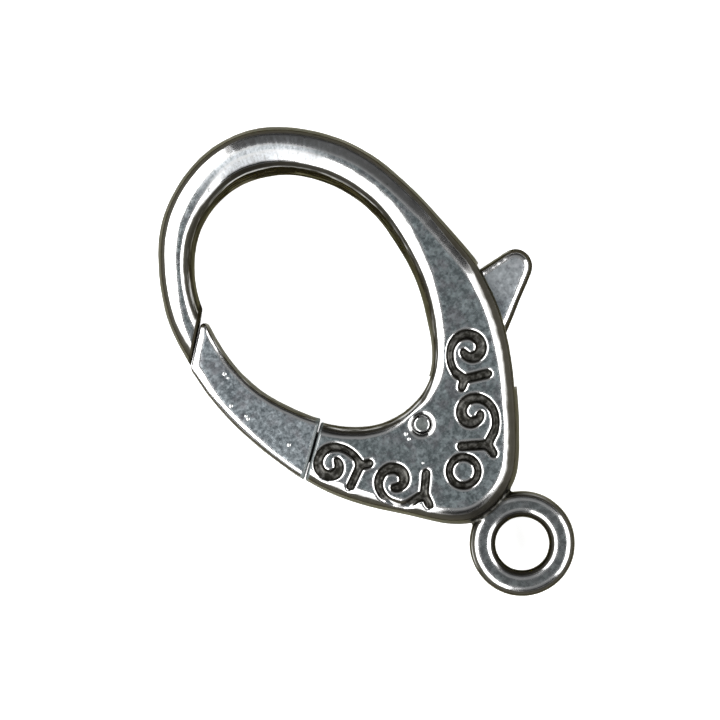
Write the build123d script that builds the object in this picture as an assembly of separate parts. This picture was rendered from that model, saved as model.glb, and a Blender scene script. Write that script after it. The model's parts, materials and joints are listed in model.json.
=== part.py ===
from build123d import *
from math import acos, atan2, cos, degrees, hypot, radians, sin
import os

# A lobster clasp of cast metal, lying on its back. Millimetres.
# While it is drawn, X 0, Y 0 is the middle of the finger opening and Z 0 is half the clasp's thickness.
# +X points to the trigger ear, +Y to the top of the hook and +Z out of the engraved front.

# Band and plate
body_width = 20.0
body_length = 31.2
body_centre_x = 0.43
body_centre_y = -3.22
thickness = 5.0
outer_draft = 0.26
outer_shoulder_width = 0.26
outer_shoulder_height = 0.36
outer_bevel_width = 0.54
outer_bevel_height = 0.30
inner_draft = 0.40
inner_shoulder_width = 0.28
inner_shoulder_height = 0.36
inner_bevel_width = 0.48
inner_bevel_height = 0.28

# Finger opening, measured at half thickness
opening_width = 13.6
opening_length = 18.9
opening_centre_y = -0.18

# Gate arm: its nose meets the hook along one line, and its root meets the plate's mouth along another
nose_line_x = -7.84
nose_line_y = 2.75
nose_line_angle = 39.0
mouth_line_x = -6.53
mouth_line_y = -7.96
mouth_line_angle = 35.5
joint_gap = 0.08
arm_stand_out = 0.13
arm_outer_draft = 0.09
arm_shoulder = 0.09
arm_outer_bevel_width = 0.42
arm_bevel_height = 0.24
arm_inner_draft = 0.18
arm_inner_bevel = 0.22
nose_bevel_width = 0.40
nose_rounding = 0.35
root_bevel_width = 0.06
mouth_bevel_width = 0.10
hook_end_bevel_width = 0.12

# Tongue in the plate's slot
tongue_thickness = 1.8
tongue_root_high = 1.30
tongue_root_low = 0.70
tongue_dip_x = 5.2
tongue_dip_y = 2.6
tongue_inset = 0.2
slot_side_gap = 0.10
slot_edge_gap = 0.20

# Pivot
pivot_x = 0.47
pivot_drop = 1.55
pin_radius = 0.56
pin_seat_gap = 0.02
hub_radius = 1.30
hub_running_gap = 0.05
countersink_radius = 0.92
countersink_depth = 0.26
pin_recess = 0.14
pin_end_bevel = 0.08

# Trigger ear
ear_reach = 2.95
ear_tip_radius = 1.22
ear_tip_y = -6.85
ear_root_top_y = -5.40
ear_root_low_y = -10.20
ear_root_depth = 1.85
ear_draft = 0.26
ear_bevel_width = 0.26
ear_bevel_height = 0.16

# Motion
open_angle = 20.0
over_travel = 2.0

# Eye ring
eye_x = 0.68
eye_hole_radius = 1.80
eye_wire = 1.80
eye_height = 2.70
eye_land = 0.80
eye_draft = 0.20
eye_rounding = 0.64
eye_overlap = 0.65

# Engraving on the front
groove_depth = 0.38
groove_width = 0.46
scroll_radius = 1.02
foot_length = 1.80
ring_x = 0.67
ring_rise = 3.40
ring_radius = 0.98
ring_width = 0.36

# Leaf spring
spring_strip = 0.25
spring_width = 1.5
spring_inner_end = 2.6
spring_outer_end = 6.6
spring_bend = 0.26
spring_gap = 0.08

# Lengths that only have to reach past what they cut
past = 0.5
reach = 6.0

half = thickness / 2
body_right_x = body_centre_x + body_width / 2
body_bottom_y = body_centre_y - body_length / 2
pivot = (pivot_x, opening_centre_y - opening_length / 2 - pivot_drop)
slot_height = tongue_thickness + 2 * slot_side_gap
eye_outer_radius = eye_hole_radius + eye_wire
eye = (eye_x, body_bottom_y + eye_overlap - eye_outer_radius)
ear_tip = (body_right_x + ear_reach - ear_tip_radius, ear_tip_y)
ear_root_top = (body_right_x - outer_bevel_width, ear_root_top_y)
ear_root_low = (body_right_x - ear_root_depth, ear_root_low_y)
tongue_dip = (pivot[0] + tongue_dip_x, pivot[1] + tongue_dip_y)
full_turn = open_angle + over_travel

# The outer line, counter-clockwise from the right, in shares of half the body's width and half its length
outer_line = [
    # across, along
    (1.000, -0.060),
    (0.965, 0.320),
    (0.845, 0.620),
    (0.655, 0.805),
    (0.390, 0.945),
    (0.035, 1.000),
    (-0.245, 0.970),
    (-0.540, 0.868),
    (-0.745, 0.715),
    (-0.903, 0.520),
    (-0.972, 0.300),
    (-0.993, 0.100),
    (-0.960, -0.110),
    (-0.875, -0.340),
    (-0.690, -0.590),
    (-0.395, -0.835),
    (-0.150, -0.985),
    (0.030, -1.000),
    (0.235, -0.965),
    (0.472, -0.820),
    (0.690, -0.628),
    (0.855, -0.452),
    (0.967, -0.255),
]

# The opening's line, the same way round, in shares of half the opening's width and half its length
inner_line = [
    # across, along
    (1.010, 0.060),
    (0.900, 0.520),
    (0.590, 0.825),
    (0.070, 0.985),
    (-0.440, 0.900),
    (-0.790, 0.640),
    (-0.985, 0.215),
    (-0.975, -0.200),
    (-0.780, -0.555),
    (-0.600, -0.750),
    (-0.305, -0.932),
    (0.060, -1.000),
    (0.450, -0.915),
    (0.730, -0.650),
    (0.930, -0.310),
]

# How wide the sloping walls and the bevels are by heading from the opening's middle, in shares of the
# drafts, shoulders and bevels named above
rim_shape = [
    # heading, outer_wall, outer_bevel, inner_wall, inner_bevel
    (0, 0.95, 1.35, 1.05, 1.90),
    (45, 0.95, 1.60, 1.30, 1.70),
    (78, 0.95, 1.35, 1.55, 1.50),
    (100, 1.00, 1.65, 0.95, 0.85),
    (130, 0.92, 1.70, 0.85, 0.85),
    (165, 0.85, 0.80, 0.85, 1.00),
    (230, 0.85, 0.95, 0.80, 1.00),
    (255, 1.00, 0.95, 0.70, 0.85),
    (275, 1.35, 0.80, 0.50, 0.65),
    (290, 1.25, 0.80, 0.42, 1.25),
    (320, 1.50, 0.90, 0.80, 1.20),
    (345, 1.15, 1.10, 0.95, 1.55),
    (360, 0.95, 1.35, 1.05, 1.90),
]

# The same for the gate arm's outer bevel, which narrows from the nose to the root
arm_shape = [
    # heading, bevel
    (0, 0.45),
    (150, 1.30),
    (172, 1.15),
    (190, 0.75),
    (225, 0.50),
    (360, 0.45),
]

# How a scroll's groove winds in on its own middle: degrees swept, and the radius and width there in shares
# of scroll_radius and groove_width
scroll_shape = [
    # swept, radius, width
    (28, 1.80, 0.90),
    (60, 1.42, 0.92),
    (100, 1.16, 0.95),
    (150, 1.01, 1.05),
    (205, 0.93, 1.20),
    (250, 0.87, 1.30),
    (290, 0.78, 1.35),
    (330, 0.66, 1.30),
    (375, 0.50, 1.10),
    (420, 0.42, 0.85),
]

# Where the scrolls stand. Middles and stems' ends are in shares of half the body's width and length, start
# is the angle from which the groove winds and winding its sense (1 is counter-clockwise). A foot is two
# short grooves from the stem's end, each with an angle and a share of foot_length.
scroll_places = [
    # across, along, start, winding, stem_across, stem_along, first, first_share, second, second_share
    (-0.638, -0.399, -63, 1, -0.500, -0.483, 206, 0.86, -22, 0.38),
    (-0.385, -0.627, -75, -1, -0.280, -0.752, 46, 0.80, 256, 0.48),
    (0.329, -0.615, 250, 1, 0.262, -0.758, 145, 1.00, 267, 0.40),
    (0.572, -0.384, 230, -1, 0.420, -0.474, 214, 0.34, -26, 0.92),
]


def on_line(point, angle, run, side=0.0):
    """A plan point reached from another: run along an angle in degrees, side to its left."""
    c, s = cos(radians(angle)), sin(radians(angle))
    return (point[0] + run * c - side * s, point[1] + run * s + side * c)


def heading(start, end):
    """The angle in degrees from one plan point to another."""
    return degrees(atan2(end[1] - start[1], end[0] - start[0]))


def turned(point, angle):
    """A plan point turned about the pivot, counter-clockwise."""
    distance = hypot(point[0] - pivot[0], point[1] - pivot[1])
    return on_line(pivot, heading(pivot, point) + angle, distance)


def touching(point, middle, radius, side):
    """Where a line from a point touches a circle. side is 1 for the left as seen from the point, or -1."""
    distance = hypot(middle[0] - point[0], middle[1] - point[1])
    swing = degrees(acos(radius / distance))
    return on_line(middle, heading(middle, point) - side * swing, radius)


def plan_face(points):
    """A flat face with straight sides."""
    return make_face(Polyline(*points, close=True))


def centred(face, height):
    """An upright solid on a plan face, as much above half thickness as below it."""
    return extrude(face, amount=height / 2, both=True)


def closed_line(table, width, length, x, y):
    """A smooth closed line through shares of half a width and half a length."""
    points = [(x + across * width / 2, y + along * length / 2) for across, along in table]
    return Spline(*points, periodic=True)


def share(table, column, angle):
    """A column's share at a heading, eased from row to row of a table that starts with the heading."""
    angle %= 360
    for before, after in zip(table, table[1:]):
        if before[0] <= angle <= after[0]:
            ease = (1 - cos(radians(180 * (angle - before[0]) / (after[0] - before[0])))) / 2
            return before[column] + ease * (after[column] - before[column])


def section(line, inset, z, samples=40):
    """The face inside a line that is first moved to its left by inset, a length or a function of heading."""
    points = []
    for k in range(samples):
        place = line.position_at(k / samples)
        along = line.tangent_at(k / samples)
        shift = inset(heading((0, opening_centre_y), (place.X, place.Y))) if callable(inset) else inset
        points.append((place.X - along.Y * shift, place.Y + along.X * shift, z))
    return make_face(Spline(*points, periodic=True))


def front_and_back(sections):
    """A solid through sections from half thickness up, joined with its mirror image below."""
    front = loft(sections, ruled=True)
    return front + mirror(front, about=Plane.XY)


outer_curve = closed_line(outer_line, body_width, body_length, body_centre_x, body_centre_y)
inner_curve = closed_line(inner_line, opening_width, opening_length, 0, opening_centre_y)


def bevelled(line, steps, wall_column, bevel_column):
    """A solid within a line, through steps of (wall's inset, bevel's inset, height), front and back alike."""
    sections = []
    for wall, bevel, z in steps:
        def inset(angle, wall=wall, bevel=bevel):
            return wall * share(rim_shape, wall_column, angle) + bevel * share(rim_shape, bevel_column, angle)
        sections.append(section(line, inset, z))
    return front_and_back(sections)


def body_blank():
    """Hook and plate before the opening is cut: a drafted wall, a narrow shoulder and a wide bevel."""
    shoulder_z = half - outer_bevel_height - outer_shoulder_height
    shoulder = outer_draft + outer_shoulder_width
    steps = [
        (0, 0, 0),
        (outer_draft, 0, shoulder_z),
        (shoulder, 0, half - outer_bevel_height),
        (shoulder, outer_bevel_width, half),
    ]
    return bevelled(outer_curve, steps, 1, 2)


def body_opening():
    """What the finger opening takes from hook and plate. It widens towards front and back."""
    shoulder_z = half - inner_bevel_height - inner_shoulder_height
    shoulder = inner_draft + inner_shoulder_width
    wide = inner_bevel_width * (1 + past / inner_bevel_height)
    steps = [
        (0, 0, 0),
        (-inner_draft, 0, shoulder_z),
        (-shoulder, 0, half - inner_bevel_height),
        (-shoulder, -wide, half + past),
    ]
    return bevelled(inner_curve, steps, 3, 4)


def arm_blank():
    """The gate arm's outer side. It stands out past the hook at the nose."""
    shoulder = arm_outer_draft + arm_shoulder
    steps = [
        (0, 0, 0),
        (arm_outer_draft, 0, half - arm_bevel_height - arm_shoulder),
        (shoulder, 0, half - arm_bevel_height),
        (shoulder, arm_outer_bevel_width, half),
    ]
    nose_heading = heading((0, opening_centre_y), (nose_line_x, nose_line_y))
    sections = []
    for wall, bevel, z in steps:
        def inset(angle, wall=wall, bevel=bevel):
            stand_out = arm_stand_out * cos(radians(angle - nose_heading)) ** 2
            return wall + bevel * share(arm_shape, 1, angle) - stand_out
        sections.append(section(outer_curve, inset, z))
    return front_and_back(sections)


def arm_opening():
    """What the finger opening takes from the gate arm."""
    wide = arm_inner_draft + arm_inner_bevel * (1 + past / arm_inner_bevel)
    steps = [
        (0, 0),
        (-arm_inner_draft, half - arm_inner_bevel),
        (-wide, half + past),
    ]
    return front_and_back([section(inner_curve, inset, z) for inset, z in steps])


def arm_region(at_nose, at_mouth, z):
    """Plan face between the nose line and the mouth line, longer at each end by the widths given."""
    nose = (nose_line_x, nose_line_y)
    mouth = (mouth_line_x, mouth_line_y)
    into_opening = opening_width / 2
    return Pos(0, 0, z) * plan_face([
        on_line(nose, nose_line_angle, -reach, at_nose),
        on_line(nose, nose_line_angle, into_opening, at_nose),
        on_line(mouth, mouth_line_angle, into_opening, -at_mouth),
        on_line(mouth, mouth_line_angle, -reach, -at_mouth),
    ])


def arm_space(gap, nose_lean, mouth_lean):
    """Solid over the arm's region, whose ends lean outwards by these widths near front and back."""
    past_front = 1 + past / arm_bevel_height
    return front_and_back([
        arm_region(gap, gap, 0),
        arm_region(gap, gap, half - arm_bevel_height),
        arm_region(gap + nose_lean * past_front, gap + mouth_lean * past_front, half + past),
    ])


def arm_plan():
    """The arm's upright outline with its two rounded nose corners."""
    plan = section(outer_curve, -arm_stand_out, 0) & arm_region(0, 0, 0)
    plan -= section(inner_curve, 0, 0)
    nose_corners = plan.vertices().filter_by(lambda v: v.Y > opening_centre_y)
    return centred(fillet(nose_corners, nose_rounding), thickness)


def tongue_left(gap, into_arm):
    """Plan face of the tongue between the gate arm and the hub, wider by gap."""
    mouth = (mouth_line_x, mouth_line_y)
    high = on_line(mouth, mouth_line_angle, tongue_root_high + gap)
    low = on_line(mouth, mouth_line_angle, -tongue_root_low - gap)
    return plan_face([
        on_line(low, mouth_line_angle, 0, into_arm),
        low,
        touching(low, pivot, hub_radius + gap, -1),
        pivot,
        touching(high, pivot, hub_radius + gap, 1),
        high,
        on_line(high, mouth_line_angle, 0, into_arm),
    ])


def tongue_right():
    """Plan face of the tongue from the hub to the trigger ear, with the ear's round tip."""
    straight = plan_face([
        pivot,
        touching(ear_root_low, pivot, hub_radius, 1),
        ear_root_low,
        touching(ear_root_low, ear_tip, ear_tip_radius, -1),
        touching(ear_root_top, ear_tip, ear_tip_radius, 1),
        ear_root_top,
        tongue_dip,
        touching(tongue_dip, pivot, hub_radius, -1),
    ])
    return straight + Pos(*ear_tip) * Circle(ear_tip_radius)


def ear_and_tongue():
    """The tongue's right half as a plate with a drafted rim and a narrow bevel."""
    plan = tongue_right()
    plate_half = tongue_thickness / 2
    steps = [
        (0, 0),
        (ear_draft, plate_half - ear_bevel_height),
        (ear_draft + ear_bevel_width, plate_half),
    ]
    sections = []
    for inset, z in steps:
        face = offset(plan, -inset, kind=Kind.INTERSECTION) if inset else plan
        sections.append(Pos(0, 0, z) * face)
    return front_and_back(sections)


def slot():
    """Room for the tongue in the plate, from shut to fully open."""
    gap = slot_edge_gap
    clear_hub = hub_radius + gap
    inside = (pivot[0] + clear_hub, pivot[1] + pivot_drop + 2 * gap)
    floor_start = turned(touching(ear_root_low, pivot, hub_radius, 1), -full_turn)
    floor_end = turned(ear_root_low, -full_turn)
    floor_far = on_line(floor_end, heading(floor_start, floor_end), reach)
    dip = (tongue_dip[0], tongue_dip[1] + gap)
    root = (ear_root_top[0], ear_root_top[1] + gap)
    root_far = (floor_far[0], root[1])
    mouth = (mouth_line_x, mouth_line_y)
    low = on_line(mouth, mouth_line_angle, -tongue_root_low - gap)
    in_opening = (pivot[0] - opening_width / 4, opening_centre_y - opening_length / 4)
    left = plan_face([
        on_line(low, mouth_line_angle, 0, reach / 2),
        low,
        touching(low, pivot, clear_hub, -1),
        pivot,
        inside,
        in_opening,
    ])
    right = plan_face([
        pivot,
        floor_start,
        floor_end,
        floor_far,
        root_far,
        root,
        dip,
        touching(dip, pivot, clear_hub, -1),
    ])
    hub = Pos(*pivot) * Circle(clear_hub)
    return centred(left, slot_height) + centred(right, slot_height) + centred(hub, slot_height)


def eye_ring():
    """The ring that a jump ring or a chain link goes through. Its hole has a straight land at half height."""
    top = eye_height / 2
    wire = plan_face([
        (eye_hole_radius, -eye_land / 2),
        (eye_hole_radius + eye_draft, -top),
        (eye_outer_radius - eye_draft, -top),
        (eye_outer_radius, -eye_land / 2),
        (eye_outer_radius, eye_land / 2),
        (eye_outer_radius - eye_draft, top),
        (eye_hole_radius + eye_draft, top),
        (eye_hole_radius, eye_land / 2),
    ])
    wire = fillet(wire.vertices().filter_by(lambda v: abs(v.Y) > eye_land), eye_rounding)
    return Pos(*eye) * revolve(Plane.XZ * wire, axis=Axis.Z)


def cut(plan):
    """The solid that cuts a plan face's shape into the front."""
    return Pos(0, 0, half - groove_depth) * extrude(plan, amount=groove_depth + past)


def on_body(across, along):
    """A plan point in shares of half the body's width and half its length."""
    return (body_centre_x + across * body_width / 2, body_centre_y + along * body_length / 2)


def scroll(across, along, start, winding, stem_across, stem_along, first, first_share, second, second_share):
    """One engraved scroll: a groove that widens as it winds in, its stem and its two-part foot."""
    middle = on_body(across, along)
    stem_end = on_body(stem_across, stem_along)
    outer, centre, inner = [], [], []
    for swept, radius, width in scroll_shape:
        angle = start + winding * swept
        side = groove_width * width / 2
        outer.append(on_line(middle, angle, scroll_radius * radius + side))
        centre.append(on_line(middle, angle, scroll_radius * radius))
        inner.append(on_line(middle, angle, scroll_radius * radius - side))
    edges = [Spline(*outer), Line(outer[-1], inner[-1]), Spline(*inner[::-1]), Line(inner[0], outer[0])]
    engraving = cut(make_face(edges))
    engraving += cut(Pos(*centre[-1]) * Circle(side))
    for end in (
        centre[0],
        on_line(stem_end, first, foot_length * first_share),
        on_line(stem_end, second, foot_length * second_share),
    ):
        engraving += cut(trace(Line(stem_end, end), groove_width))
        engraving += cut(Pos(*end) * Circle(groove_width / 2))
    return engraving + cut(Pos(*stem_end) * Circle(groove_width / 2))


def engraved_ring():
    """The small ring groove near the eye."""
    outline = Circle(ring_radius + ring_width / 2) - Circle(ring_radius - ring_width / 2)
    return cut(Pos(ring_x, body_bottom_y + ring_rise) * outline)


def countersink():
    """The cone that opens a pin hole towards the front."""
    slope = (countersink_radius - pin_radius) / countersink_depth
    deep = countersink_depth + past
    cone = Cone(pin_radius, pin_radius + slope * deep, deep)
    return Pos(pivot[0], pivot[1], half - countersink_depth + deep / 2) * cone


def make_body():
    """Hook, plate and eye, one casting."""
    body = body_blank() - body_opening()
    body -= arm_space(joint_gap, hook_end_bevel_width, mouth_bevel_width)
    body -= slot()
    body += eye_ring()
    body -= Pos(*pivot) * Cylinder(pin_radius + pin_seat_gap, 2 * thickness)
    body -= countersink()
    body -= mirror(countersink(), about=Plane.XY)
    body -= engraved_ring()
    for place in scroll_places:
        body -= scroll(*place)
    return body


def make_gate():
    """Gate arm, tongue and trigger ear, one casting."""
    arm = arm_blank() & arm_space(0, -nose_bevel_width, -root_bevel_width)
    arm = (arm - arm_opening()) & arm_plan()
    tongue = ear_and_tongue()
    tongue += centred(Pos(*pivot) * Circle(hub_radius), tongue_thickness)
    tongue += centred(tongue_left(0, past), tongue_thickness)
    tongue -= centred(section(inner_curve, -tongue_inset, 0), thickness)
    return arm + tongue - Pos(*pivot) * Cylinder(pin_radius + hub_running_gap, thickness)


def make_pin():
    """The pin, sunk a little below both faces."""
    pin = Cylinder(pin_radius, thickness - 2 * pin_recess)
    return Pos(*pivot) * chamfer(pin.edges().filter_by(GeomType.CIRCLE), pin_end_bevel)


def make_spring():
    """A bent strip between the tongue's lower edge and the slot's floor."""
    hub_low = touching(ear_root_low, pivot, hub_radius, 1)
    tongue_angle = heading(hub_low, ear_root_low)
    floor_angle = tongue_angle - full_turn
    floor_low = turned(hub_low, -full_turn)
    side = spring_strip / 2 + spring_gap
    path = FilletPolyline(
        on_line(hub_low, tongue_angle, spring_outer_end, -side),
        on_line(hub_low, tongue_angle, spring_inner_end, -side),
        on_line(floor_low, floor_angle, spring_inner_end, side),
        on_line(floor_low, floor_angle, spring_outer_end, side),
        radius=spring_bend,
    )
    return centred(trace(path, spring_strip), spring_width)


pieces = {
    "body": make_body(),
    "gate": make_gate(),
    "pivot_pin": make_pin(),
    "leaf_spring": make_spring(),
}

# The origin is the middle of the clasp's plan box, on the plane that it lies on
boxes = [piece.bounding_box() for piece in pieces.values()]
middle_x = (min(b.min.X for b in boxes) + max(b.max.X for b in boxes)) / 2
middle_y = (min(b.min.Y for b in boxes) + max(b.max.Y for b in boxes)) / 2
to_origin = Pos(-middle_x, -middle_y, half)
print("origin in the drawing", round(middle_x, 4), round(middle_y, 4))
os.makedirs("parts", exist_ok=True)
for name, piece in pieces.items():
    export_step(to_origin * piece, f"parts/{name}.step")
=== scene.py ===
import bpy
import bmesh
import json
import math
from mathutils import Matrix, Vector


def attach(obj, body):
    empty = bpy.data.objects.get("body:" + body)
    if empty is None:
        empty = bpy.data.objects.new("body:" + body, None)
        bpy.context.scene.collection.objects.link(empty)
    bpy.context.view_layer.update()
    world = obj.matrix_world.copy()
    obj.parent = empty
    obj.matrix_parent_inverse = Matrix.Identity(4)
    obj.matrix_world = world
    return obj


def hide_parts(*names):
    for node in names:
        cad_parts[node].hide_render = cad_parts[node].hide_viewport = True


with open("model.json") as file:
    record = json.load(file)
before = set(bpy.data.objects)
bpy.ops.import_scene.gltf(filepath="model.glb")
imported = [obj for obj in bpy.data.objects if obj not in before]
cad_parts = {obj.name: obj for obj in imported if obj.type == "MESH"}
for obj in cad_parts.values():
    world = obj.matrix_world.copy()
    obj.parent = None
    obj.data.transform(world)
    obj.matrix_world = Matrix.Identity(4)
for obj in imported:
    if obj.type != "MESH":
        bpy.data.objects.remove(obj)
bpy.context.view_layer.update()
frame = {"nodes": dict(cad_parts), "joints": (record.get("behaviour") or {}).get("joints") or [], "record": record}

scene = bpy.context.scene
mm = 0.001                    # the script's own sizes are in millimetres, the scene is in metres
mounts = {mount["name"]: Vector(mount["pos_m"]) / mm for mount in frame["record"]["mounts"]}
openingMiddle = mounts["hook_opening"]
eyeMiddle = mounts["eye"]
pivotMiddle = Vector(frame["joints"][0]["pos_m"]) / mm
print("frame loaded:", sorted(frame["nodes"]))


# Small helpers for node trees
def addNode(tree, kind, label="", **settings):
    node = tree.nodes.new(kind)
    node.label = label
    for name, value in settings.items():
        setattr(node, name, value)
    return node


def plug(tree, value, socket):            # another node's socket is linked, a plain value is set
    if isinstance(value, bpy.types.NodeSocket):
        tree.links.new(value, socket)
    else:
        socket.default_value = value


def fill(tree, node, values):             # a node's inputs by name
    for name, value in values.items():
        plug(tree, value, node.inputs[name])
    return node


def number(tree, operation, first, second=0.0):
    node = addNode(tree, "ShaderNodeMath", operation=operation)
    plug(tree, first, node.inputs[0])
    plug(tree, second, node.inputs[1])
    return node.outputs[0]


def vector(tree, operation, first, second=(0, 0, 0)):
    node = addNode(tree, "ShaderNodeVectorMath", operation=operation)
    plug(tree, first, node.inputs[0])
    plug(tree, second, node.inputs[1])
    return node.outputs["Value" if operation in ("DOT_PRODUCT", "LENGTH") else "Vector"]


def stretch(tree, value, low, high, first=0.0, last=1.0):
    node = addNode(tree, "ShaderNodeMapRange")
    fill(tree, node, {"Value": value, "From Min": low, "From Max": high, "To Min": first, "To Max": last})
    return node.outputs["Result"]


noiseKinds = {                # detail and roughness of each
    "Wave Size": (2.0, 0.5),
    "Grain Size": (2.0, 0.5),
    "tarnish blotches": (4.0, 0.6),
    "cast skin": (2.5, 0.55),
    "fine speckle": (2.0, 0.6),
    "polish streaks": (3.0, 0.6),
    "file marks": (3.0, 0.6),
    "faint tinge": (2.0, 0.5),
    "worn spots": (2.0, 0.5),
}


def noise(tree, place, scale, kind):
    detail, rough = noiseKinds[kind]
    node = addNode(tree, "ShaderNodeTexNoise", kind)
    fill(tree, node, {"Vector": place, "Scale": scale, "Detail": detail, "Roughness": rough})
    return node.outputs["Fac"]


def mixColours(tree, factor, first, second, label=""):
    node = addNode(tree, "ShaderNodeMix", label, data_type="RGBA")
    plug(tree, factor, node.inputs["Factor"])
    plug(tree, first, node.inputs[6])     # the colour sockets A and B share their names with others
    plug(tree, second, node.inputs[7])
    return node.outputs[2]


# The photo's view, straight down on the clasp
view = {
    "pixels": 720,
    "turn": -39.0,            # degrees about +Z
    "height": 600.0,          # mm
    "lookAt": (-1.93, 1.325),
    "frontHeight": 5.0,
    "width": 48.65,           # mm across the picture at the clasp's front
    "sensor": 36.0,
    "nearest": 0.01,          # metres, as is the next
    "farthest": 10,
}


def fromPicture(across, down):            # where a pixel of the photo lies on the clasp's front
    scale = view["width"] / view["pixels"]
    shift = Vector(((across - view["pixels"] / 2) * scale, (view["pixels"] / 2 - down) * scale))
    return Vector(view["lookAt"]) + Matrix.Rotation(math.radians(view["turn"]), 2) @ shift


# The lever's two joints: a point in mm on each, and the line's angle
jointLines = {
    "noseGap": ((-9.73, 9.25, 2.5), 39.0),
    "mouthGap": ((-8.42, -1.46, 2.5), 35.5),
}

# The casting's skin. Cast and barrel-polished metal has no sharp edge, so the sharp solid is rounded
# over a fine even mesh and made a little uneven. What the patina and the painted shade need is kept at each
# point: how far it lies below its surroundings, how flat it lies, which way it leans and how near a joint it is.
castSkin = {
    "weld": 1e-7,             # metres within which points of the sharp solid are one
    "cell": 0.062,            # mm between points of the even mesh
    "rounding": 17,           # blur steps that soften the edges
    "wearSteps": 19,          # blur steps that find the exposed edges
    "recessSteps": 131,       # blur steps that find the grooves and corners
    "waveSize": 2.6,          # mm across the casting's unevenness
    "waveDepth": 0.035,
    "grainSize": 0.50,        # mm across the cast skin's grains
    "grainDepth": 0.004,
    "crispWithin": 0.40,      # mm from a joint, where edges stay crisp
    "crispShare": 0.05,       # of the rounding, right at the joint
    "backFace": (-0.9, -0.5),  # the normal's height where the flat back ends and the waves start
    "deepest": (0.3, 0.7),    # of the noise, from level to the full depth
    "jointReach": 4.6,        # mm from a joint's point to where its line ends
    "triangles": 190000,
}


def buildCastSkinTree():
    tree = bpy.data.node_groups.new("castSkin", "GeometryNodeTree")
    kinds = {"Geometry": "Geometry", "Rounding Steps": "Int", "Wear Steps": "Int", "Recess Steps": "Int",
             "Wave Size": "Float", "Wave Depth": "Float", "Grain Size": "Float", "Grain Depth": "Float",
             "Crisp Within": "Float", "Joint Reach": "Float", "Opening Middle": "Vector",
             "Back To Metres": "Float", "Metal": "Material"}
    for line in jointLines:
        kinds[line + " Point"] = "Vector"
        kinds[line + " Across"] = "Vector"
    for name, kind in kinds.items():
        tree.interface.new_socket(name, in_out="INPUT", socket_type="NodeSocket" + kind)
    tree.interface.new_socket("Geometry", in_out="OUTPUT", socket_type="NodeSocketGeometry")
    given = addNode(tree, "NodeGroupInput").outputs
    done = addNode(tree, "NodeGroupOutput")
    place = addNode(tree, "GeometryNodeInputPosition").outputs[0]
    normal = addNode(tree, "GeometryNodeInputNormal").outputs[0]
    upward = addNode(tree, "ShaderNodeSeparateXYZ")
    plug(tree, normal, upward.inputs[0])

    gaps = {}
    for line in jointLines:
        apart = vector(tree, "SUBTRACT", place, given[line + " Point"])
        across = number(tree, "ABSOLUTE", vector(tree, "DOT_PRODUCT", apart, given[line + " Across"]))
        beyond = number(tree, "SUBTRACT", vector(tree, "LENGTH", apart), given["Joint Reach"])
        gaps[line] = number(tree, "ADD", across, number(tree, "MAXIMUM", beyond, 0.0))
    nearest = number(tree, "MINIMUM", *gaps.values())
    softness = stretch(tree, nearest, 0.0, given["Crisp Within"], castSkin["crispShare"], 1.0)
    offBack = stretch(tree, upward.outputs["Z"], *castSkin["backFace"])

    def blurred(steps, weight):
        blur = addNode(tree, "GeometryNodeBlurAttribute", steps, data_type="FLOAT_VECTOR")
        fill(tree, blur, {"Value": place, "Iterations": given[steps], "Weight": weight})
        return blur.outputs["Value"]

    def uneven(geometry, size, depth):        # sunk only, so that nothing passes the real size
        grain = noise(tree, place, number(tree, "DIVIDE", 1.0, given[size]), size)
        sunk = number(tree, "MULTIPLY", stretch(tree, grain, *castSkin["deepest"], 0.0, -1.0), given[depth])
        sunk = number(tree, "MULTIPLY", sunk, number(tree, "MULTIPLY", softness, offBack))
        shift = fill(tree, addNode(tree, "ShaderNodeVectorMath", operation="SCALE"),
                     {"Vector": normal, "Scale": sunk})
        moved = addNode(tree, "GeometryNodeSetPosition", depth)
        fill(tree, moved, {"Geometry": geometry, "Offset": shift.outputs["Vector"]})
        return moved.outputs["Geometry"]

    def keep(geometry, value, name):
        store = addNode(tree, "GeometryNodeStoreNamedAttribute", name, data_type="FLOAT", domain="POINT")
        fill(tree, store, {"Geometry": geometry, "Name": name, "Value": value})
        return store.outputs["Geometry"]

    def depth(steps):
        # how far the blurred surface lies outside the real one: above 0 in a hollow, below 0 on an edge
        return vector(tree, "DOT_PRODUCT", vector(tree, "SUBTRACT", blurred(steps, 1.0), place), normal)

    rounded = addNode(tree, "GeometryNodeSetPosition", "round the edges")
    fill(tree, rounded, {"Geometry": given["Geometry"], "Position": blurred("Rounding Steps", softness)})
    current = uneven(rounded.outputs["Geometry"], "Wave Size", "Wave Depth")
    current = uneven(current, "Grain Size", "Grain Depth")
    current = keep(current, depth("Wear Steps"), "wear")
    current = keep(current, depth("Recess Steps"), "recess")
    current = keep(current, number(tree, "ABSOLUTE", upward.outputs["Z"]), "flatness")
    outward = vector(tree, "MULTIPLY", vector(tree, "SUBTRACT", place, given["Opening Middle"]), (1, 1, 0))
    lean = vector(tree, "DOT_PRODUCT", normal, vector(tree, "NORMALIZE", outward))
    current = keep(current, lean, "lean")
    for line, gap in gaps.items():
        current = keep(current, gap, line)

    size = addNode(tree, "ShaderNodeCombineXYZ")
    fill(tree, size, {axis: given["Back To Metres"] for axis in ("X", "Y", "Z")})
    scaled = addNode(tree, "GeometryNodeTransform", "millimetres to metres")
    fill(tree, scaled, {"Geometry": current, "Scale": size.outputs[0]})
    real = addNode(tree, "GeometryNodeRealizeInstances")
    fill(tree, real, {"Geometry": scaled.outputs["Geometry"]})
    paint = addNode(tree, "GeometryNodeSetMaterial")
    fill(tree, paint, {"Geometry": real.outputs["Geometry"], "Material": given["Metal"]})
    plug(tree, paint.outputs["Geometry"], done.inputs["Geometry"])
    return tree


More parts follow.
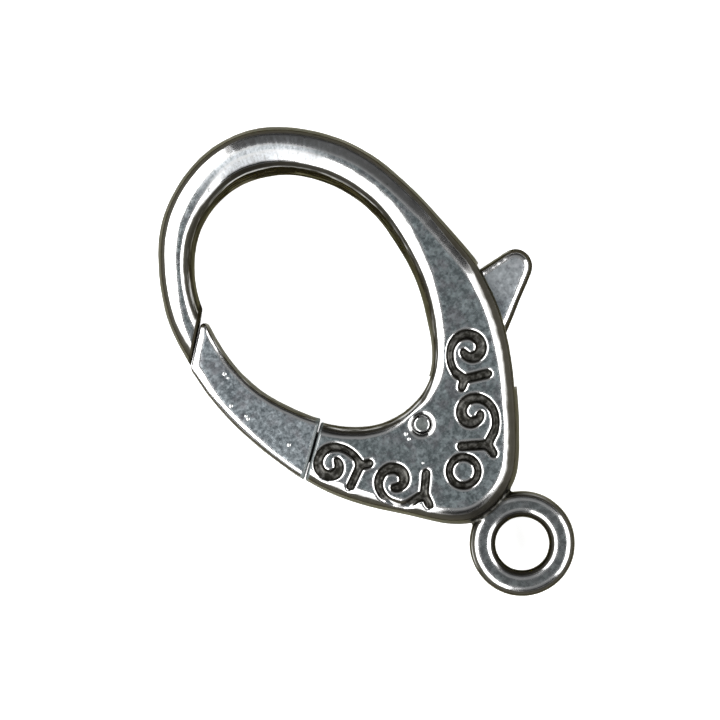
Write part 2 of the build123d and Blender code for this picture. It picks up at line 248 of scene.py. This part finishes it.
def setInputs(modifier, values):          # by socket identifier
    for item in modifier.node_group.interface.items_tree:
        if item.item_type == "SOCKET" and item.in_out == "INPUT" and item.name in values:
            modifier[item.identifier] = values[item.name]


def plainMesh(piece, name):               # what the modifiers give, as a mesh of its own
    depsgraph = bpy.context.evaluated_depsgraph_get()
    made = bpy.data.meshes.new_from_object(piece.evaluated_get(depsgraph), depsgraph=depsgraph)
    made.name = name
    piece.modifiers.clear()
    piece.data = made
    return piece


def castPiece(node, name, skinTree, metal, skin):
    piece = bpy.data.objects.new(name, frame["nodes"][node].data.copy())
    scene.collection.objects.link(piece)
    sharp = bmesh.new()
    sharp.from_mesh(piece.data)
    bmesh.ops.remove_doubles(sharp, verts=sharp.verts, dist=skin["weld"])
    bmesh.ops.recalc_face_normals(sharp, faces=sharp.faces)
    sharp.to_mesh(piece.data)
    sharp.free()
    piece.data.transform(Matrix.Scale(1 / mm, 4))
    even = piece.modifiers.new("evenMesh", "REMESH")
    even.mode = "VOXEL"
    even.voxel_size = skin["cell"]
    plainMesh(piece, name)
    values = {
        "Rounding Steps": skin["rounding"],
        "Wear Steps": skin["wearSteps"],
        "Recess Steps": skin["recessSteps"],
        "Wave Size": skin["waveSize"],
        "Wave Depth": skin["waveDepth"],
        "Grain Size": skin["grainSize"],
        "Grain Depth": skin["grainDepth"],
        "Crisp Within": skin["crispWithin"],
        "Joint Reach": skin["jointReach"],
        "Opening Middle": openingMiddle,
        "Back To Metres": mm,
        "Metal": metal,
    }
    for line, (point, angle) in jointLines.items():
        values[line + " Point"] = point
        values[line + " Across"] = (-math.sin(math.radians(angle)), math.cos(math.radians(angle)), 0.0)
    shape = piece.modifiers.new("castSkin", "NODES")
    shape.node_group = skinTree
    setInputs(shape, values)
    plainMesh(piece, name)
    triangles = sum(len(face.vertices) - 2 for face in piece.data.polygons)
    if triangles > skin["triangles"]:
        thin = piece.modifiers.new("fewerFaces", "DECIMATE")
        thin.ratio = skin["triangles"] / triangles
        plainMesh(piece, name)
    piece.data.shade_smooth()
    print(name, "made with", len(piece.data.polygons), "faces")
    return piece


# Antique plate: silver where it is rubbed, grey tarnish on the flats, black in the recesses, painted
# shade on the shoulders, beside the joints and high on the walls, and painted light low on the walls
bodyPlate = {
    "silver": (0.74, 0.74, 0.735, 1),
    "light": (0.42, 0.475, 0.488, 1),
    "tarnish": (0.178, 0.212, 0.220, 1),
    # patina, and the painted shade on the sloping shoulders and high on the walls
    "patinaAndShade": (0.028, 0.025, 0.017, 1),
    "groove": (0.024, 0.023, 0.019, 1),
    "grooveLight": (0.125, 0.122, 0.112, 1),
    "wall": (0.085, 0.083, 0.068, 1),
    # the lighter file marks, and the painted light on the walls' foot
    "wallLight": (0.24, 0.238, 0.205, 1),
    "grazing": (0.28, 0.272, 0.21, 1),    # what a wall shows when it is seen edge on
    "shoulder": (0.88, 0.80),  # the flatness between which the shoulder's patina and painted shade start
    "jointShade": {                # mm of painted shade beside a joint, and how much of it the flat gets
        "noseGap": (0.42, 1.0),           # where the arm's tip meets the hook's
        "mouthGap": (0.34, 0.0),          # where the arm leaves the plate
    },
    # painted shade that dims the steep lips beside the plate's mouth
    "mouthShade": (0.15, 0.165, 0.165, 1),
    "darkTips": [(189, 356, 0.50)],      # darker round a tip: across and down in the photo, and mm round it
    "bevel": (0.36, 0.357, 0.35, 1),
    "patches": [              # middle, mm to where it ends, mm of soft edge, colour, amount
        (eyeMiddle, 3.9, 0.7, (0.195, 0.205, 0.205, 1), 0.75),
    ],
    "tinge": (0.275, 0.255, 0.275, 1),
    "tingeSize": 0.9,         # mm across
    "blotch": 1.3,
    "peel": 0.42,             # the cast skin's own waves, mm across
    "speckle": 0.16,
    "pit": 0.75,              # mm between pits
    "peelHeight": 0.0050,     # mm
    "flatRoughness": 0.27,
    "edgeRoughness": 0.16,
    "filing": 0.006,          # mm, the file marks' depth
    "brushed": 1.0,           # how much of the hook's crest is brushed
}
gatePlate = dict(
    bodyPlate,
    light=(0.52, 0.575, 0.605, 1),
    tarnish=(0.215, 0.250, 0.270, 1),
    shoulder=(0.78, 0.66),
    jointShade={"noseGap": (0.0, 0.0), "mouthGap": (0.34, 0.0)},     # none on the arm's tip
    bevel=(0.46, 0.46, 0.45, 1),
    darkTips=[(201.5, 322.5, 0.50)],
    patches=[(Vector((10.3, -0.35, 2.5)), 3.0, 0.8, (0.66, 0.69, 0.71, 1), 0.55)],
    peel=0.36,
    peelHeight=0.0070,
    flatRoughness=0.33,
    brushed=0.0,
)
crest = {                     # the hook's top is brushed across
    "middleAngle": 72.0,      # degrees round the opening's middle, from +X
    "halfAngle": 41.0,
    "streakRadius": 8.5,      # mm
    "streakWidth": 0.16,
    "streakLength": 1.1,
    "roughness": 0.46,
    "light": (0.80, 0.83, 0.86, 1),
}
wallLines = {                 # the casting's file marks run along the walls, which also get painted light at the foot and painted shade under the front's edge
    "length": 3.6,            # mm
    "width": 0.42,
    "footTop": 1.9,           # height where the painted light on the walls' foot starts
    "footFull": 0.8,
    "shadeFoot": 2.9,         # height where the painted shade under the front's edge starts
    "shadeFull": 4.2,
    "most": 0.85,             # of the foot's painted light and of the painted shade
}

# Where each finish, painted shade and painted light starts and where it is full, then what it goes from and to if
# not from 0 to 1.
# Flatness is 1 on a level face and 0 on an upright wall. Lean is above 0 away from the opening's middle
# and below 0 towards it. Recess and wear are in mm. Noise and streaks run from 0 to 1.
limits = {
    "pit": (0.03, 0.10, 1.0, 0.0),
    "aroundPin": (2.55 * mm, 2.75 * mm, 0.30, 1.0),
    "recess": (0.022, 0.060),
    "rubbedWear": (-0.003, -0.012),
    "rubbedBend": (0.996, 0.980),         # flatness, as in all down to wornBend
    "rubbedOffWall": (0.10, 0.50, 0.35, 1.0),
    "flat": (0.965, 0.997),
    "bevel": (0.990, 0.955),
    "relief": (0.990, 0.999, 0.04, 1.0),
    "shadedLips": (0.995, 0.97),
    "wall": (0.45, 0.15),
    "innerWall": (0.62, 0.35),
    "offWall": (0.10, 0.26),
    "crestBend": (0.82, 0.92),
    "wornBend": (0.66, 0.50),
    "inward": (0.0, -0.25),               # lean
    "crestEdge": (0.44, 0.14),            # lean
    "crestWaver": (0.35, 0.65, -0.03, 0.05),      # of the streaks, in lean
    "wisps": (0.38, 0.58, 0.30, 1.0),
    "mottle": (0.45, 0.73),
    "tinge": (0.50, 0.64, 0.0, 0.45),
    "filedLight": (0.40, 0.64),
    "wornStreaks": (0.47, 0.60),
    "wornShoulder": (0.0, 1.0, 0.96, 0.25),
    "soot": (0.42, 0.64),
    "fineGrain": (0.3, 0.7, -0.03, 0.03),
}
shares = {                    # how much of each counts
    "wispPolish": 0.55,
    "wispSpeckle": 0.45,
    "mottleBlotch": 0.36,
    "mottlePeel": 0.34,
    "mottleSpeckle": 0.46,
    "reliefSpeckle": 0.28,
    "pitSoot": 0.6,
    "fullDarkening": 0.7,          # of a joint's or a tip's reach
    "fullCrest": 0.35,        # of the crest's half angle
}
roughPlaces = {               # the least roughness of each
    "crest": crest["roughness"],
    "recess": 0.5,
    "wall": 0.34,
    "shoulder": 0.5,
    "mouthShade": 0.55,
}
peelRoughness = (0.35, 0.65, -0.05, 0.06)     # of the cast skin's waves, and what they take off and add


def antiqueMetal(name, look):
    metal = bpy.data.materials.new(name)
    metal.use_nodes = True
    tree = metal.node_tree
    tree.nodes.clear()
    out = addNode(tree, "ShaderNodeOutputMaterial")
    shader = addNode(tree, "ShaderNodeBsdfPrincipled")
    fill(tree, shader, {"Metallic": 1.0, "Specular Tint": look["grazing"]})
    plug(tree, shader.outputs[0], out.inputs[0])
    place = addNode(tree, "ShaderNodeTexCoord").outputs["Object"]

    def ramp(value, low, high, first=0.0, last=1.0):
        return stretch(tree, value, low, high, first, last)

    def within(value, limit):             # a ramp between the limits of that name
        return ramp(value, *limits[limit])

    def plus(first, second):
        return number(tree, "ADD", first, second)

    def times(first, second):
        return number(tree, "MULTIPLY", first, second)

    def larger(first, second):
        return number(tree, "MAXIMUM", first, second)

    def mix(factor, first, second):
        return mixColours(tree, factor, first, second)

    def kept(attribute):
        return addNode(tree, "ShaderNodeAttribute", attribute, attribute_name=attribute).outputs["Fac"]

    def distance(middle):
        return vector(tree, "LENGTH", vector(tree, "SUBTRACT", place, middle * mm))

    def height(mark):                     # of one of the walls' lines, above the opening's middle
        return (wallLines[mark] - openingMiddle.z) * mm

    blotches = noise(tree, place, 1 / (look["blotch"] * mm), "tarnish blotches")
    peel = noise(tree, place, 1 / (look["peel"] * mm), "cast skin")
    speckles = noise(tree, place, 1 / (look["speckle"] * mm), "fine speckle")
    pits = addNode(tree, "ShaderNodeTexVoronoi", "casting pits")
    fill(tree, pits, {"Vector": place, "Scale": 1 / (look["pit"] * mm), "Randomness": 1.0})
    pit = within(pits.outputs["Distance"], "pit")

    flatness = kept("flatness")
    aroundPin = within(distance(pivotMiddle), "aroundPin")
    recess = times(within(kept("recess"), "recess"), aroundPin)
    rubbed = times(within(kept("wear"), "rubbedWear"), within(flatness, "rubbedBend"))
    rubbed = times(rubbed, within(flatness, "rubbedOffWall"))
    flat = within(flatness, "flat")
    inner = within(kept("lean"), "inward")            # the walls round the opening
    wall = larger(within(flatness, "wall"), times(within(flatness, "innerWall"), inner))
    # painted shade along the sloping shoulders, where they would face the dark low room, together with the patina
    # there
    shoulder = times(times(ramp(flatness, *look["shoulder"]), within(flatness, "offWall")), aroundPin)
    # painted shade on the lips beside each joint
    shadedLips = {}
    for seam, (width, onFlat) in look["jointShade"].items():
        steep = ramp(flatness, *limits["shadedLips"], onFlat, 1.0)
        shadedLips[seam] = times(ramp(kept(seam), width, width * shares["fullDarkening"]), steep)

    # the place round the opening, for streaks across the crest and along the walls
    apart = addNode(tree, "ShaderNodeSeparateXYZ")
    plug(tree, vector(tree, "SUBTRACT", place, openingMiddle * mm), apart.inputs[0])
    turn = number(tree, "ARCTAN2", apart.outputs["Y"], apart.outputs["X"])
    away = distance(openingMiddle)

    def streaks(first, second, kind):
        along = addNode(tree, "ShaderNodeCombineXYZ")
        fill(tree, along, {"X": first, "Y": second})
        return noise(tree, along.outputs[0], 1.0, kind)

    polish = streaks(times(turn, crest["streakRadius"] / crest["streakWidth"]),
                     times(away, 1 / (crest["streakLength"] * mm)), "polish streaks")
    filed = streaks(times(turn, crest["streakRadius"] / wallLines["length"]),
                    times(apart.outputs["Z"], 1 / (wallLines["width"] * mm)), "file marks")
    offCrest = number(tree, "ABSOLUTE", number(tree, "SUBTRACT", turn, math.radians(crest["middleAngle"])))
    halfAngle = math.radians(crest["halfAngle"])
    crestZone = ramp(offCrest, halfAngle, halfAngle * shares["fullCrest"])
    crestZone = times(crestZone, within(flatness, "crestBend"))
    lean = number(tree, "SUBTRACT", kept("lean"), within(polish, "crestWaver"))
    crestZone = times(times(crestZone, within(lean, "crestEdge")), look["brushed"])
    wisps = plus(times(polish, shares["wispPolish"]), times(speckles, shares["wispSpeckle"]))

    mottle = plus(times(blotches, shares["mottleBlotch"]), times(peel, shares["mottlePeel"]))
    mottle = within(plus(mottle, times(speckles, shares["mottleSpeckle"])), "mottle")
    colour = mix(mottle, look["tarnish"], look["light"])
    tinge = noise(tree, place, 1 / (look["tingeSize"] * mm), "faint tinge")
    colour = mix(within(tinge, "tinge"), colour, look["tinge"])
    for middle, end, soft, tint, amount in look["patches"]:
        near = ramp(distance(middle), end * mm, (end - soft) * mm, 0.0, amount)
        colour = mix(near, colour, tint)
    colour = mix(within(flatness, "bevel"), colour, look["bevel"])
    colour = mix(times(crestZone, within(wisps, "wisps")), colour, crest["light"])
    # painted light on the walls' foot and painted shade under the front's edge, over the file marks' streaks
    paintedFootLight = ramp(apart.outputs["Z"], height("footTop"), height("footFull"), 0.0, wallLines["most"])
    wallShade = ramp(apart.outputs["Z"], height("shadeFoot"), height("shadeFull"), 0.0, wallLines["most"])
    filedAndLitFoot = larger(within(filed, "filedLight"), paintedFootLight)
    wallColour = mix(wallShade, mix(filedAndLitFoot, look["wall"], look["wallLight"]), look["patinaAndShade"])
    colour = mix(wall, colour, wallColour)
    colour = mix(rubbed, colour, look["silver"])
    worn = times(times(within(filed, "wornStreaks"), within(flatness, "wornBend")), inner)
    shoulder = times(shoulder, within(worn, "wornShoulder"))
    # the nose joint's painted shade joins the shoulders'
    shoulder = larger(shoulder, shadedLips["noseGap"])
    # darker round each listed tip
    for across, down, reach in look["darkTips"]:
        tip = Vector((*fromPicture(across, down), view["frontHeight"]))
        shoulder = larger(shoulder, ramp(distance(tip), reach * mm, reach * shares["fullDarkening"] * mm))
    # the shoulders, the nose joint and the tips take the patina and painted shade colour
    colour = mix(shoulder, colour, look["patinaAndShade"])
    # painted shade dims the lips beside the plate's mouth
    colour = mix(shadedLips["mouthGap"], colour, look["mouthShade"])
    soot = mix(within(peel, "soot"), look["groove"], look["grooveLight"])
    colour = mix(larger(recess, times(pit, shares["pitSoot"])), colour, soot)
    plug(tree, colour, shader.inputs["Base Color"])

    low, high, smoother, rougher = peelRoughness
    rough = ramp(peel, low, high, look["flatRoughness"] + smoother, look["flatRoughness"] + rougher)
    rough = plus(rough, within(speckles, "fineGrain"))
    rough = larger(times(rough, flat), look["edgeRoughness"])
    masks = {
        "crest": crestZone,
        "recess": recess,
        "wall": wall,
        "shoulder": shoulder,
        "mouthShade": shadedLips["mouthGap"],
    }
    for part, mask in masks.items():
        rough = larger(rough, times(mask, roughPlaces[part]))
    plug(tree, rough, shader.inputs["Roughness"])

    # the skin's finest relief fades out where the bevels begin
    relief = times(plus(peel, times(speckles, shares["reliefSpeckle"])), within(flatness, "relief"))
    relief = plus(relief, times(pit, -1.0))
    relief = plus(relief, times(times(filed, wall), look["filing"] / look["peelHeight"]))
    bump = addNode(tree, "ShaderNodeBump")
    fill(tree, bump, {"Strength": 1.0, "Distance": look["peelHeight"] * mm, "Height": relief})
    plug(tree, bump.outputs[0], shader.inputs["Normal"])
    return metal


skinTree = buildCastSkinTree()
bodyCasting = castPiece("body", "bodyCasting", skinTree, antiqueMetal("bodyPlating", bodyPlate), castSkin)
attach(bodyCasting, "clasp")
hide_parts("body")
gateSkin = dict(castSkin, waveSize=1.9, grainDepth=0.006)
gateCasting = castPiece("gate", "gateCasting", skinTree, antiqueMetal("gatePlating", gatePlate), gateSkin)
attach(gateCasting, "lever")
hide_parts("gate")

# Tiny beads that the casting left, as wide flat drops. Their places are pixels of the 720 pixel photo.
castBeads = {
    "bodyBeads": {
        "body": "clasp",
        "places": [           # across, down, radius in mm
            (406, 434, 0.16),
            (409, 439, 0.14),
            (423, 463, 0.10),
            (208, 190, 0.17),
        ],
    },
    "armBeads": {
        "body": "lever",
        "places": [
            (224.5, 374, 0.15),
            (228, 378, 0.10),
            (231, 406, 0.15),
            (246, 416, 0.12),
            (248, 419, 0.14),
            (289, 445, 0.15),
        ],
    },
    "rings": 3,               # how often each drop's faces are divided
    "flattened": 0.5,         # height against width
    "sunk": 0.25,             # of the radius, so that each grows out of the casting
    "silver": (0.82, 0.82, 0.81, 1),
    "dull": (0.58, 0.60, 0.60, 1),
    "mottle": 0.12,           # mm across
    "spots": (0.3, 0.7),      # of the mottle, from polished to worn
    "polished": 0.30,         # roughness
    "worn": 0.42,
}


def buildBeadTree():
    tree = bpy.data.node_groups.new("castBeads", "GeometryNodeTree")
    kinds = {"Geometry": "Geometry", "Flattened": "Float", "Metal": "Material"}
    for name, kind in kinds.items():
        tree.interface.new_socket(name, in_out="INPUT", socket_type="NodeSocket" + kind)
    tree.interface.new_socket("Geometry", in_out="OUTPUT", socket_type="NodeSocketGeometry")
    given = addNode(tree, "NodeGroupInput").outputs
    done = addNode(tree, "NodeGroupOutput")
    drop = addNode(tree, "GeometryNodeMeshIcoSphere")
    fill(tree, drop, {"Radius": 1.0, "Subdivisions": castBeads["rings"]})
    radius = addNode(tree, "GeometryNodeInputNamedAttribute", data_type="FLOAT")
    fill(tree, radius, {"Name": "radius"})
    radius = radius.outputs["Attribute"]
    size = addNode(tree, "ShaderNodeCombineXYZ")
    fill(tree, size, {"X": radius, "Y": radius, "Z": number(tree, "MULTIPLY", radius, given["Flattened"])})
    placed = addNode(tree, "GeometryNodeInstanceOnPoints")
    fill(tree, placed, {
        "Points": given["Geometry"],
        "Instance": drop.outputs["Mesh"],
        "Scale": size.outputs[0],
    })
    real = addNode(tree, "GeometryNodeRealizeInstances")
    fill(tree, real, {"Geometry": placed.outputs["Instances"]})
    paint = addNode(tree, "GeometryNodeSetMaterial")
    fill(tree, paint, {"Geometry": real.outputs["Geometry"], "Material": given["Metal"]})
    plug(tree, paint.outputs["Geometry"], done.inputs["Geometry"])
    return tree


def beadSilver():
    metal = bpy.data.materials.new("beadSilver")
    metal.use_nodes = True
    tree = metal.node_tree
    shader = fill(tree, tree.nodes["Principled BSDF"], {"Metallic": 1.0})
    place = addNode(tree, "ShaderNodeTexCoord").outputs["Object"]
    mottle = noise(tree, place, 1 / (castBeads["mottle"] * mm), "worn spots")
    fill(tree, shader, {
        "Base Color": mixColours(tree, mottle, castBeads["silver"], castBeads["dull"]),
        "Roughness": stretch(tree, mottle, *castBeads["spots"], castBeads["polished"], castBeads["worn"]),
    })
    return metal


def onCasting(casting, across, down, radius):         # where a drop's middle sits in the casting
    above = Vector((*fromPicture(across, down), view["height"])) * mm
    hit, spot, _, _ = casting.ray_cast(above, (0, 0, -1))
    return spot - Vector((0, 0, radius * castBeads["sunk"] * mm)) if hit else above


beadTree = buildBeadTree()
beadMetal = beadSilver()
for beadName, casting in {"bodyBeads": bodyCasting, "armBeads": gateCasting}.items():
    beadSet = castBeads[beadName]
    spots = bpy.data.meshes.new(beadName)
    spots.from_pydata([onCasting(casting, *place) for place in beadSet["places"]], [], [])
    radii = spots.attributes.new("radius", "FLOAT", "POINT")
    radii.data.foreach_set("value", [radius * mm for _, _, radius in beadSet["places"]])
    beadPiece = bpy.data.objects.new(beadName, spots)
    scene.collection.objects.link(beadPiece)
    drops = beadPiece.modifiers.new("castBeads", "NODES")
    drops.node_group = beadTree
    setInputs(drops, {"Flattened": castBeads["flattened"], "Metal": beadMetal})
    plainMesh(beadPiece, beadName)
    beadPiece.data.shade_smooth()
    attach(beadPiece, beadSet["body"])
print("castings and beads made")

# The pin's ends are dulled and a little domed
pinSkin = dict(castSkin, cell=0.045, rounding=6, wearSteps=10, recessSteps=70, waveDepth=0.0)
pinPlate = dict(
    bodyPlate,
    tarnish=(0.30, 0.33, 0.31, 1),
    light=(0.52, 0.55, 0.53, 1),
    blotch=0.5,
    brushed=0.0,
)
pinPiece = castPiece("pivot_pin", "dulledPin", skinTree, antiqueMetal("pinSteel", pinPlate), pinSkin)
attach(pinPiece, "clasp")
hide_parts("pivot_pin")

# The spring is a plain dull strip
springSkin = dict(pinSkin, cell=0.05, rounding=3)
springPlate = dict(bodyPlate, tarnish=(0.22, 0.22, 0.21, 1), light=(0.40, 0.40, 0.39, 1), brushed=0.0)
springMetal = antiqueMetal("springSteel", springPlate)
springPiece = castPiece("leaf_spring", "springStrip", skinTree, springMetal, springSkin)
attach(springPiece, "clasp")
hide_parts("leaf_spring")
print("pin and spring made")

# Floor, light and camera
studio = {
    "floorSize": 700.0,       # mm
    "floorDrop": 0.03,        # clear of the clasp's back
    "floorGlow": 0.68,
    "paper": (0.9, 0.9, 0.9, 1),
    "paperGlow": (1, 1, 1, 1),
    "paperRoughness": 0.8,
    "panelDistance": 230.0,
    "panelFoot": 66.0,        # height of the panels' lower edge
    "panelTop": 400.0,
    "panels": {               # azimuth of the middle and half width, degrees from the picture's right
        "leftBackPanel": (159.0, 34.0),
        "leftFrontPanel": (226.0, 33.5),
        "rightPanel": (-3.5, 35.0),
    },
    "panelRadiance": 4.4,
    "overhead": (0.29, 0.295, 0.30, 1),
    "horizon": (0.032, 0.032, 0.032, 1),
    "rise": (0.45, 0.97),     # how steeply up the room goes from one to the other
    "backdrop": (0.80, 0.80, 0.80, 1),
}

floorMesh = bpy.data.meshes.new("floor")
edge = studio["floorSize"] / 2 * mm
under = -studio["floorDrop"] * mm
corners = [(-edge, -edge, under), (edge, -edge, under), (edge, edge, under), (-edge, edge, under)]
floorMesh.from_pydata(corners, [], [(0, 1, 2, 3)])
floor = bpy.data.objects.new("floor", floorMesh)
scene.collection.objects.link(floor)
paper = bpy.data.materials.new("palePaper")
paper.use_nodes = True
fill(paper.node_tree, paper.node_tree.nodes["Principled BSDF"], {
    "Base Color": studio["paper"],
    "Roughness": studio["paperRoughness"],
    "Emission Color": studio["paperGlow"],
    "Emission Strength": studio["floorGlow"],
})
floorMesh.materials.append(paper)


def softPanel(name, azimuth, halfAngle):
    width = 2 * studio["panelDistance"] * math.tan(math.radians(halfAngle))
    height = studio["panelTop"] - studio["panelFoot"]
    lamp = bpy.data.lights.new(name, "AREA")
    lamp.shape = "RECTANGLE"
    lamp.size = width * mm
    lamp.size_y = height * mm
    lamp.energy = studio["panelRadiance"] * math.pi * width * mm * height * mm
    turn = math.radians(azimuth + view["turn"])
    away = Vector((math.cos(turn), math.sin(turn), 0))
    middle = Vector((0, 0, studio["panelFoot"] + height / 2))
    panel = bpy.data.objects.new(name, lamp)
    panel.location = away * studio["panelDistance"] * mm + middle * mm
    panel.rotation_euler = away.to_track_quat("Z", "Y").to_euler()
    scene.collection.objects.link(panel)
    panel.visible_camera = False


for panelName, (azimuth, halfAngle) in studio["panels"].items():
    softPanel(panelName, azimuth, halfAngle)

# The room is grey overhead and dark low down, and the camera sees a pale backdrop past the floor
world = bpy.data.worlds.new("room")
world.use_nodes = True
sky = world.node_tree
way = addNode(sky, "ShaderNodeSeparateXYZ")
plug(sky, addNode(sky, "ShaderNodeTexCoord").outputs["Generated"], way.inputs[0])
rise = addNode(sky, "ShaderNodeMapRange", "from low to overhead", interpolation_type="SMOOTHSTEP")
fill(sky, rise, {"Value": way.outputs["Z"], "From Min": studio["rise"][0], "From Max": studio["rise"][1]})
room = mixColours(sky, rise.outputs["Result"], studio["horizon"], studio["overhead"], "room")
direct = addNode(sky, "ShaderNodeLightPath").outputs["Is Camera Ray"]
seen = mixColours(sky, direct, room, studio["backdrop"], "backdrop")
plug(sky, seen, sky.nodes["Background"].inputs["Color"])
scene.world = world

lens = bpy.data.cameras.new("camera")
lens.sensor_width = view["sensor"]
lens.lens = view["sensor"] * (view["height"] - view["frontHeight"]) / view["width"]
lens.clip_start = view["nearest"]
lens.clip_end = view["farthest"]
camera = bpy.data.objects.new("camera", lens)
camera.location = Vector((*view["lookAt"], view["height"])) * mm
camera.rotation_euler = (0, 0, math.radians(view["turn"]))
scene.collection.objects.link(camera)
scene.camera = camera
scene.view_settings.view_transform = "Standard"
print("stage set")
